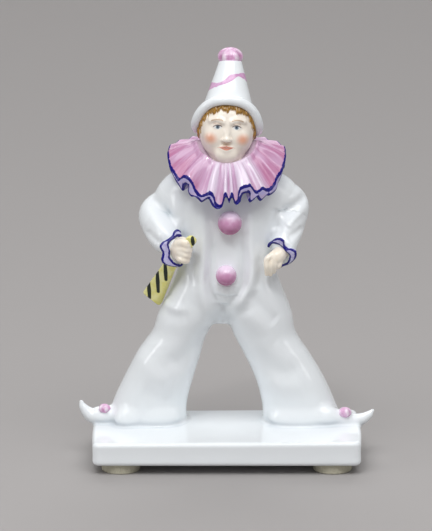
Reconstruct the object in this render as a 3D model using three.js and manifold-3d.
// A porcelain clown in a loose white suit, legs wide apart, on a low slab that stands on four felt pads.
// Millimetres, +Z up, front towards -Y. The origin is on the table top, under the middle of the slab.
// Left and right are the viewer's, seen from the front.
// The clown and the slab are one fired piece, so every form below is joined into one solid.
import * as THREE from "three";
import { mergeVertices } from "three/addons/utils/BufferGeometryUtils.js";
import Module from "manifold-3d";

const wasm = await Module();
wasm.setup();

// Driving dimensions of the pads and the slab
const PAD = { radius: 9.2, height: 5.2, x: 50.5, y: 17.5, sides: 24 };
const SLAB = { length: 127, depth: 58, bottom: 5.5, top: 16.1, corner: 3.4, edge: 1.1, bow: 1.2, rise: 0.9 };

// Driving dimensions of the head and the hat
const HEAD = { x: 0.4, y: 4.9, z: 163, width: 25.4, depth: 25.6, height: 30, chin: 2.2, jaw: 3.4, roll: -2.5 };
const BRIM = { x: 0.3, y: 6.2, z: 166, radius: 14.9, roll: 2.3, tilt: 44 };
const CONE = { x: 1.4, y: 14, z: 191.4, base: 12.6, tip: 5, tilt: 16, deeper: 0.12 };
const HAIR = { thick: 0.7, drop: 2.6, locks: 17, ripple: 0.35 };

// Driving dimensions of the collar: its rim falls to the chest in front and stands up behind the head
const COLLAR = {
  y: 3.6, halfWidth: 28, halfDepth: 21.2, neck: 9.2, neckZ: 146, thick: 2.6,
  front: 128, side: 145.6, back: 154.4, folds: 19, wave: 1.2,
};

// Pompoms and buttons: middle and radius
const POMPOMS = [
  { x: 1.6, y: 14.8, z: 194, radius: 4.7, lobes: 6 },
  { x: 1.4, y: -9.6, z: 118.6, radius: 5.7 },
  { x: -0.3, y: -10.2, z: 93.3, radius: 4.9 },
  { x: -59.4, y: 5.6, z: 23.6, radius: 2.8, lobes: 5 },
  { x: 57.5, y: 1, z: 22.2, radius: 2.8, lobes: 5 },
];

// How far the body of the suit reaches at each height
const BODY = [
  { z: 62, left: -4, right: 2, front: 3, back: 17 },
  { z: 70, left: -18, right: 17, front: -3, back: 22 },
  { z: 80, left: -26.5, right: 25.5, front: -7.4, back: 24.5 },
  { z: 94, left: -23.5, right: 23.5, front: -8.2, back: 22 },
  { z: 110, left: -23, right: 23, front: -7.2, back: 20.8 },
  { z: 124, left: -25, right: 25.5, front: -6.8, back: 22 },
  { z: 134, left: -26, right: 27, front: -5, back: 21.4 },
  { z: 141, left: -20, right: 21, front: -2, back: 19.5 },
  { z: 147, left: -11, right: 11, front: 1, back: 16 },
];

// How far each trouser leg reaches at each height
const LEFT_LEG = [
  { z: SLAB.top - 2, left: -54, right: -19.2, front: 0.6, back: 27 },
  { z: SLAB.top + 3, left: -56, right: -19.4, front: -1, back: 28 },
  { z: 26, left: -54.7, right: -18.9, front: -1.4, back: 27.4 },
  { z: 38, left: -49.4, right: -16, front: -3, back: 25.4 },
  { z: 50, left: -43.4, right: -12, front: -4, back: 24 },
  { z: 60, left: -35.8, right: -7, front: -5, back: 23.4 },
  { z: 72, left: -32.3, right: -2, front: -7, back: 24 },
  { z: 84, left: -26, right: -3, front: -7, back: 23 },
  { z: 92, left: -20, right: -6, front: -5, back: 20 },
];
const RIGHT_LEG = [
  { z: SLAB.top - 2, left: 18, right: 52, front: -1, back: 27 },
  { z: SLAB.top + 3, left: 17.6, right: 54.4, front: -2.4, back: 28 },
  { z: 26, left: 16.9, right: 52.2, front: -2.6, back: 27.4 },
  { z: 38, left: 13.8, right: 46.9, front: -3.4, back: 25.4 },
  { z: 50, left: 9, right: 40, front: -4.2, back: 24 },
  { z: 60, left: 4, right: 33.6, front: -5, back: 23.4 },
  { z: 72, left: 0, right: 31, front: -7, back: 24 },
  { z: 84, left: 2, right: 26, front: -7, back: 23 },
  { z: 92, left: 5, right: 20, front: -5, back: 20 },
];

// Points along the middle of each limb, from its root, with its radius there
const LEFT_SLEEVE = [
  [-12, 9, 131, 9.2], [-21, 9.6, 128.2, 9.5], [-29, 11, 122, 9.6], [-32.5, 9.6, 116.6, 9.3],
  [-30.6, 3, 112, 8], [-27.4, -4.4, 107.6, 6],
];
const RIGHT_SLEEVE = [
  [12, 9, 132, 9.4], [23.4, 10.4, 129.2, 9.8], [29.8, 12.6, 123.6, 9.6], [29.8, 11.6, 117.4, 8.9],
  [29, 5, 111, 7.4], [26.8, -2.6, 104.4, 5.6],
];
const LEFT_SHOE = [
  [-42, 10, 19.4, 4.6], [-52, 9, 19.7, 4.6], [-60, 8.4, 19.9, 3.7], [-65.4, 8.2, 22, 2.7],
  [-69.9, 8, 26.6, 1.5],
];
const RIGHT_SHOE = [
  [42, 5, 19.2, 4.6], [52, 4.4, 19.4, 4.6], [60, 4, 19.4, 3.8], [65.6, 3.8, 19.9, 2.9],
  [69.85, 3.7, 22.2, 1.5],
];
const CUFFS = [
  { x: -24.6, y: -7.6, z: 105.6, radius: 8.3, axis: [0.42, -0.86, -0.1] },
  { x: 26.4, y: -5.6, z: 102.6, radius: 7.6, axis: [-0.5, -0.62, -0.6] },
];
const CUFF = { depth: 3.4, thick: 1.5, folds: 7, wave: 0.7 };

// The slapstick: a flat slat held in the left fist, wider and cut square at its far end
const SLAPSTICK = { from: [-15.6, -14, 111.8], to: [-35.4, 4.4, 79.8], grip: 5, wide: 10, thick: 2.8 };

// Triangle budget: sides around, and steps along, each form
const MESH = {
  body: [36, 13], leg: [26, 13], sleeve: [14, 8], shoe: [10, 6], neck: [12, 2], palm: [10, 2], finger: [5, 3],
  head: [28, 18], ball: [12, 7], round: 28, tolerance: 0.18,
};

const v = (x, y, z) => new THREE.Vector3(x, y, z);
const radians = THREE.MathUtils.degToRad;
const bell = (distance, width) => Math.exp(-((distance / width) ** 2));

// A closed solid from any closed three.js geometry, turned to face outwards
function solid(geometry) {
  const bare = new THREE.BufferGeometry();
  bare.setAttribute("position", geometry.getAttribute("position"));
  bare.setIndex(geometry.index);
  const merged = mergeVertices(bare, 1e-4);
  const kept = [];
  const index = merged.index.array;
  for (let i = 0; i < index.length; i += 3) {
    const [a, b, c] = [index[i], index[i + 1], index[i + 2]];
    if (a !== b && b !== c && c !== a) kept.push(a, b, c);
  }
  const vertProperties = Float32Array.from(merged.getAttribute("position").array);
  const corner = (i) => v().fromArray(vertProperties, 3 * i);
  let volume = 0;
  for (let i = 0; i < kept.length; i += 3) {
    volume += corner(kept[i]).dot(corner(kept[i + 1]).cross(corner(kept[i + 2])));
  }
  const triVerts = Uint32Array.from(volume < 0 ? kept.reverse() : kept);
  return new wasm.Manifold(new wasm.Mesh({ numProp: 3, vertProperties, triVerts }));
}

// A closed geometry through a list of closed rings, each end closed by a fan about its middle
function loft(rings) {
  const around = rings[0].length;
  const points = rings.flat();
  const faces = [];
  for (let r = 0; r + 1 < rings.length; r++) {
    for (let i = 0; i < around; i++) {
      const a = r * around + i;
      const b = r * around + ((i + 1) % around);
      faces.push(a, b, b + around, a, b + around, a + around);
    }
  }
  for (const end of [0, rings.length - 1]) {
    const middle = points.length;
    const centre = rings[end].reduce((sum, p) => sum.add(p), v(0, 0, 0));
    points.push(centre.divideScalar(around));
    for (let i = 0; i < around; i++) {
      const a = end * around + i;
      const b = end * around + ((i + 1) % around);
      faces.push(...(end === 0 ? [middle, b, a] : [middle, a, b]));
    }
  }
  return new THREE.BufferGeometry().setFromPoints(points).setIndex(faces);
}

// A soft square ring at one height, between its left, right, front and back reach
function ovalRing({ z, left, right, front, back }, sides, power, shape) {
  const soften = (c) => Math.sign(c) * Math.abs(c) ** (2 / power);
  return Array.from({ length: sides }, (_, i) => {
    const angle = (2 * Math.PI * i) / sides;
    const x = (left + right) / 2 + ((right - left) / 2) * soften(Math.cos(angle));
    const y = (front + back) / 2 + ((back - front) / 2) * soften(Math.sin(angle));
    return shape(v(x, y, z), angle);
  });
}

// A garment form: the rows smoothed into many rings, each then shaped by its folds
function garment(rows, [sides, steps], power, shape) {
  const across = new THREE.CatmullRomCurve3(rows.map((r) => v(r.left, r.right, r.z)), false, "catmullrom");
  const deep = new THREE.CatmullRomCurve3(rows.map((r) => v(r.front, r.back, r.z)), false, "catmullrom");
  const rings = Array.from({ length: steps + 1 }, (_, i) => {
    const [a, b] = [across.getPoint(i / steps), deep.getPoint(i / steps)];
    return ovalRing({ z: a.z, left: a.x, right: a.y, front: b.x, back: b.y }, sides, power, shape);
  });
  return solid(loft(rings));
}

// A limb: round rings along a smooth line through its points, domed at both ends
function limb(points, [sides, steps]) {
  const line = new THREE.CatmullRomCurve3(points.map((p) => v(p[0], p[1], p[2])), false, "catmullrom");
  const width = new THREE.SplineCurve(points.map((p, i) => new THREE.Vector2(i, p[3])));
  const stations = [];
  for (let i = 0; i <= steps; i++) {
    const t = i / steps;
    stations.push({ at: line.getPoint(t), way: line.getTangent(t), radius: width.getPoint(t).y });
  }
  const dome = (station, sign) => [60].map((angle) => ({
    at: station.at.clone().addScaledVector(station.way, sign * station.radius * Math.sin(radians(angle))),
    way: station.way,
    radius: station.radius * Math.cos(radians(angle)),
  }));
  const all = [...dome(stations[0], -1), ...stations, ...dome(stations[steps], 1).reverse()];
  let across = v(0, 1, 0);
  if (Math.abs(across.dot(all[0].way)) > 0.9) across = v(1, 0, 0);
  return solid(loft(all.map(({ at, way, radius }) => {
    across.addScaledVector(way, -across.dot(way)).normalize();
    const other = way.clone().cross(across);
    return Array.from({ length: sides }, (_, i) => {
      const angle = (2 * Math.PI * i) / sides;
      return at.clone()
        .addScaledVector(across, radius * Math.cos(angle))
        .addScaledVector(other, radius * Math.sin(angle));
    });
  })));
}

// A solid from a geometry whose every point is first moved by a function
function reshape(geometry, move) {
  const place = geometry.getAttribute("position");
  for (let i = 0; i < place.count; i++) {
    const p = move(v().fromBufferAttribute(place, i));
    place.setXYZ(i, p.x, p.y, p.z);
  }
  return solid(geometry);
}

function ball({ x, y, z, radius, lobes = 0 }) {
  const geometry = new THREE.SphereGeometry(radius, ...MESH.ball).rotateX(Math.PI / 2);
  return reshape(geometry, (p) => {
    const height = p.z / radius;
    const lobe = lobes ? 0.08 * Math.cos(lobes * Math.atan2(p.y, p.x)) * (1 - height * height) : 0;
    return p.multiplyScalar(1 + lobe).add(v(x, y, z));
  });
}

// The slab: upright corners rounded, edges softened, ends slightly bowed, a touch thicker to the right
function slab() {
  const [long, deep] = [SLAB.length / 2 - SLAB.edge, SLAB.depth / 2 - SLAB.edge];
  const r = SLAB.corner - SLAB.edge;
  const outline = new THREE.Shape();
  const corners = [[long, deep, 0], [-long, deep, 90], [-long, -deep, 180], [long, -deep, 270]];
  for (const [x, y, turn] of corners) {
    const start = radians(turn);
    outline.absarc(x - Math.sign(x) * r, y - Math.sign(y) * r, r, start, start + Math.PI / 2, false);
    if (turn === 90) outline.quadraticCurveTo(-long - 2 * SLAB.bow, 0, -long, r - deep);
  }
  outline.quadraticCurveTo(long + 2 * SLAB.bow, 0, long, deep - r);
  const block = new THREE.ExtrudeGeometry(outline, {
    depth: SLAB.top - SLAB.bottom - 2 * SLAB.edge, bevelEnabled: true, bevelSize: SLAB.edge,
    bevelThickness: SLAB.edge, bevelSegments: 2, curveSegments: 4,
  });
  block.translate(0, 0, SLAB.bottom + SLAB.edge);
  return reshape(block, (p) => {
    const share = (p.z - SLAB.bottom) / (SLAB.top - SLAB.bottom);
    p.z += share * SLAB.rise * (p.x / SLAB.length);
    return p;
  });
}

// Folds of the suit, as how far the cloth comes forward at a place on its front
function bodyFolds(p) {
  if (p.y > 8) return p;
  const ridges = bell(p.x + 10.8, 3) + bell(p.x - 11.2, 3);
  const panel = bell(p.x - 0.3, 6);
  const belly = bell(p.x - 0.2, 11) * bell(p.z - 84, 15);
  p.y -= 1.4 * ridges - 0.9 * panel + 1.9 * belly;
  return p;
}

// A leg's folds: broad ones slant under the knee, and the hem ripples where it meets the slab
function legFolds(side, slant) {
  return (p, angle) => {
    const out = v(Math.cos(angle), Math.sin(angle), 0);
    const hem = THREE.MathUtils.smoothstep(28 - p.z, 0, 10);
    const ripple = 0.9 * hem * Math.cos(5 * angle + side);
    const fold = (height, depth) => depth * bell(p.z - height - slant * (p.x - side * 30), 4.2);
    const front = Math.max(0, -Math.sin(angle));
    const folds = fold(75, 0.6) - fold(68, 0.7) + fold(46, 0.5) - fold(37, 0.6);
    return p.addScaledVector(out, ripple + folds * (0.35 + 0.65 * front));
  };
}

// The collar: pleats run out from the neck to a wavy rim
function collar() {
  const sides = 4 * COLLAR.folds;
  const rimHeight = (c) => (c > 0
    ? COLLAR.side - (COLLAR.side - COLLAR.front) * c
    : COLLAR.side + (COLLAR.back - COLLAR.side) * (1 - (1 + c) ** 2.2));
  const point = (i, reach, lift) => {
    const turn = (2 * Math.PI * i) / sides;
    const [s, c] = [Math.sin(turn), Math.cos(turn)];
    const wave = Math.cos(COLLAR.folds * turn) * COLLAR.wave * reach;
    const wide = COLLAR.neck + (COLLAR.halfWidth - COLLAR.neck) * reach + 0.5 * wave;
    const deep = COLLAR.neck + (COLLAR.halfDepth - COLLAR.neck) * reach + 0.5 * wave;
    const neck = COLLAR.neckZ - 2.4 * c;
    const arch = 3.2 * Math.sin(Math.PI * reach) * Math.max(0, 0.6 + 0.4 * c);
    const z = neck + (rimHeight(c) - neck) * reach ** 1.15 + arch + wave + lift;
    return v(wide * s, COLLAR.y - deep * c, z);
  };
  const ring = (reach, lift) => Array.from({ length: sides }, (_, i) => point(i, reach, lift));
  const half = COLLAR.thick / 2;
  const rings = [
    ring(0, -4), ring(0.5, -half), ring(0.94, -half), ring(1, -0.3 * half), ring(1, 0.3 * half),
    ring(0.94, half), ring(0.66, half), ring(0.33, half), ring(0, half),
  ];
  return solid(loft(rings));
}

// Face forms on the front of the head: place across and up from its middle, size, and how far each stands out
const FACE = [
  { x: 0, z: -3.2, wide: 1.5, high: 3.4, out: 1.7 },
  { x: 0, z: -5.8, wide: 2.1, high: 1.3, out: 1.3 },
  { x: -4.9, z: 0.4, wide: 2.5, high: 1.7, out: -1 },
  { x: 4.9, z: 0.4, wide: 2.5, high: 1.7, out: -1 },
  { x: 0, z: 3.4, wide: 8, high: 1.6, out: 0.4 },
  { x: -6.6, z: -5.4, wide: 3, high: 2.6, out: 0.6 },
  { x: 6.6, z: -5.4, wide: 3, high: 2.6, out: 0.6 },
  { x: 0, z: -9, wide: 3.2, high: 1.2, out: 0.9 },
  { x: 0, z: -13, wide: 3.2, high: 2, out: 1.1 },
];

function headPoint(d, grow) {
  const jaw = Math.max(0, -d.z);
  const p = v(
    d.x * (HEAD.width / 2 + grow) * (1 - 0.06 * jaw ** 2),
    d.y * (HEAD.depth / 2 + grow) - HEAD.jaw * jaw ** 2,
    d.z * (HEAD.height / 2 + grow) - HEAD.chin * jaw,
  );
  const front = grow === 0 ? THREE.MathUtils.smoothstep(-d.y, 0.05, 0.4) : 0;
  for (const { x, z, wide, high, out } of FACE) {
    p.y -= front * out * bell(p.x - x, wide) * bell(p.z - z, high);
  }
  return p;
}

function headForm(fineness, shape) {
  const geometry = new THREE.SphereGeometry(1, ...fineness).rotateX(Math.PI / 2);
  const upright = v(0, 1, 0);
  return reshape(geometry, (d) => shape(d)
    .applyAxisAngle(upright, radians(-HEAD.roll))
    .add(v(HEAD.x, HEAD.y, HEAD.z)));
}

// Hair: a rippled cap, cut off along a slope under the brim
function hair() {
  const cap = headForm([HAIR.locks * 2, 10], (d) => {
    const ripple = HAIR.ripple * Math.cos(HAIR.locks * Math.atan2(d.y, d.x)) * Math.sqrt(1 - d.z ** 2);
    return headPoint(d, HAIR.thick + ripple);
  });
  const slope = radians(BRIM.tilt);
  const up = v(0, Math.sin(slope), Math.cos(slope));
  const edge = v(BRIM.x, BRIM.y, BRIM.z).addScaledVector(up, -HAIR.drop).dot(up);
  return cap.trimByPlane(up.toArray(), edge);
}

// The hat: a cone that rises from a tilted rolled brim
function hat() {
  const tilted = ({ x, y, z }, tilt) => new THREE.Matrix4()
    .makeTranslation(x, y, z)
    .multiply(new THREE.Matrix4().makeRotationX(-radians(tilt)));
  const brim = new THREE.TorusGeometry(BRIM.radius, BRIM.roll, 8, MESH.round);
  brim.applyMatrix4(tilted(BRIM, BRIM.tilt));
  const ring = (t) => {
    const at = {
      x: THREE.MathUtils.lerp(BRIM.x, CONE.x, t), y: THREE.MathUtils.lerp(BRIM.y, CONE.y, t),
      z: THREE.MathUtils.lerp(BRIM.z, CONE.z, t),
    };
    const radius = THREE.MathUtils.lerp(CONE.base, CONE.tip, t) + 2.2 * (1 - t) ** 6;
    const place = tilted(at, THREE.MathUtils.lerp(BRIM.tilt, CONE.tilt, Math.sqrt(t)));
    return Array.from({ length: MESH.round }, (_, i) => {
      const angle = (2 * Math.PI * i) / MESH.round;
      const deep = radius * (1 + CONE.deeper * (1 - t));
      return v(radius * Math.cos(angle), deep * Math.sin(angle), 0).applyMatrix4(place);
    });
  };
  return solid(brim).add(solid(loft([0, 0.1, 0.22, 0.4, 0.7, 1].map(ring))));
}

// A cuff: a flared, pleated frill around the wrist, open towards the hand
function cuff({ x, y, z, radius, axis }) {
  const sides = 4 * CUFF.folds;
  const turn = new THREE.Quaternion().setFromUnitVectors(v(0, 0, 1), v(...axis).normalize());
  const ring = (reach, along) => Array.from({ length: sides }, (_, i) => {
    const angle = (2 * Math.PI * i) / sides;
    const wave = CUFF.wave * Math.cos(CUFF.folds * angle) * reach;
    const r = radius * reach;
    return v(r * Math.cos(angle), r * Math.sin(angle), along + wave).applyQuaternion(turn).add(v(x, y, z));
  });
  return solid(loft([ring(0.3, -CUFF.depth), ring(0.62, -CUFF.depth), ring(1, -CUFF.thick), ring(1, 0), ring(0.3, 0)]));
}

function slapstick() {
  const [from, to] = [v(...SLAPSTICK.from), v(...SLAPSTICK.to)];
  const along = to.clone().sub(from);
  const long = along.length();
  along.normalize();
  const facing = v(-0.25, -1, 0).projectOnPlane(along).normalize();
  const across = along.clone().cross(facing);
  const [grip, wide, half] = [SLAPSTICK.grip / 2, SLAPSTICK.wide / 2, SLAPSTICK.thick / 2];
  const outline = [[-grip, 0], [grip, 0], [grip + 0.6, 0.35 * long], [wide, long], [-wide, long], [-grip - 0.6, 0.35 * long]];
  const shape = new THREE.Shape(outline.map(([a, b]) => new THREE.Vector2(a, b)));
  const slat = new THREE.ExtrudeGeometry(shape, {
    depth: SLAPSTICK.thick - 1, bevelEnabled: true, bevelSize: 0.5, bevelThickness: 0.5, bevelSegments: 1,
  });
  slat.translate(0, 0, 0.5 - half);
  const basis = new THREE.Matrix4().makeBasis(across, along, across.clone().cross(along));
  return solid(slat.applyMatrix4(basis).translate(from.x, from.y, from.z));
}

// The left fist around the slapstick, with four curled fingers
function leftHand() {
  const forms = [limb([[-25.4, -6.4, 106.2, 4.4], [-21.8, -10.2, 106, 5.1], [-19.4, -11.2, 105.8, 4.9]], MESH.palm)];
  for (let i = 0; i < 4; i++) {
    const z = 109.6 - 2.5 * i;
    const x = -18.4 - 0.5 * i;
    forms.push(limb([[x - 3.4, -13.6, z, 1.4], [x, -14.8, z - 0.5, 1.5], [x + 2, -12.4, z - 0.9, 1.4]], MESH.finger));
  }
  forms.push(limb([[-24, -12.6, 109.4, 1.5], [-21, -14.2, 110.4, 1.5], [-18.4, -14.6, 110.2, 1.3]], MESH.finger));
  return forms;
}

// The right hand, flat on the hip with its fingers down
function rightHand() {
  const forms = [limb([[26.6, -4.6, 103.6, 4], [23.4, -8.4, 100.6, 4.3], [21.6, -9.2, 98.4, 3.9]], MESH.palm)];
  for (let i = 0; i < 4; i++) {
    const x = 25 - 2.5 * i;
    const low = [92.6, 91.4, 91.8, 93.4][i];
    forms.push(limb([[x - 0.6, -9.4 - 0.5 * i, 99, 1.6], [x - 2.2, -10.4 - 0.4 * i, 95.6, 1.5],
      [x - 3.2, -9.8 - 0.3 * i, low, 1.2]], MESH.finger));
  }
  forms.push(limb([[21, -9.4, 103, 1.6], [17.6, -11, 100.6, 1.5], [16.4, -10.6, 98.4, 1.2]], MESH.finger));
  return forms;
}

function figurine() {
  const forms = [
    slab(),
    garment(BODY, MESH.body, 2.5, bodyFolds),
    garment(LEFT_LEG, MESH.leg, 2.3, legFolds(-1, -0.35)),
    garment(RIGHT_LEG, MESH.leg, 2.3, legFolds(1, 0.35)),
    limb(LEFT_SLEEVE, MESH.sleeve), limb(RIGHT_SLEEVE, MESH.sleeve),
    limb(LEFT_SHOE, MESH.shoe), limb(RIGHT_SHOE, MESH.shoe),
    limb([[0, 8, 138, 8.6], [0, 6.4, 146, 8.2], [0.2, 6, 154, 8]], MESH.neck),
    headForm(MESH.head, (d) => headPoint(d, 0)),
    collar(), hair(), hat(), slapstick(),
    ...CUFFS.map(cuff), ...leftHand(), ...rightHand(), ...POMPOMS.map(ball),
  ];
  // Needless triangles on flat stretches are dropped, and voids sealed between forms are filled
  const joined = wasm.Manifold.union(forms).simplify(MESH.tolerance);
  return joined.decompose().find((piece) => piece.volume() > 1);
}

function pad(x, y) {
  const { radius, height, sides } = PAD;
  const profile = [[0, 0], [radius - 0.4, 0], [radius, 0.4], [radius, height], [0, height]];
  const disc = new THREE.LatheGeometry(profile.map(([r, h]) => new THREE.Vector2(r, h)), sides);
  return solid(disc.rotateX(Math.PI / 2).translate(x, y, 0));
}

function named(name, form, colour, roughness) {
  const { vertProperties, triVerts } = form.getMesh();
  const geometry = new THREE.BufferGeometry();
  geometry.setAttribute("position", new THREE.BufferAttribute(vertProperties, 3));
  geometry.setIndex(new THREE.BufferAttribute(triVerts, 1));
  geometry.computeVertexNormals();
  const mesh = new THREE.Mesh(geometry, new THREE.MeshStandardMaterial({ color: colour, roughness, metalness: 0 }));
  mesh.name = name;
  return mesh;
}

const group = new THREE.Group();
group.add(named("clown_figurine", figurine(), 0xeef1f3, 0.12));
for (const [depth, y] of [["front", -PAD.y], ["back", PAD.y]]) {
  for (const [side, x] of [["left", -PAD.x], ["right", PAD.x]]) {
    group.add(named(`felt_pad_${depth}_${side}`, pad(x, y), 0xc6c3b0, 0.95));
  }
}
export default group;
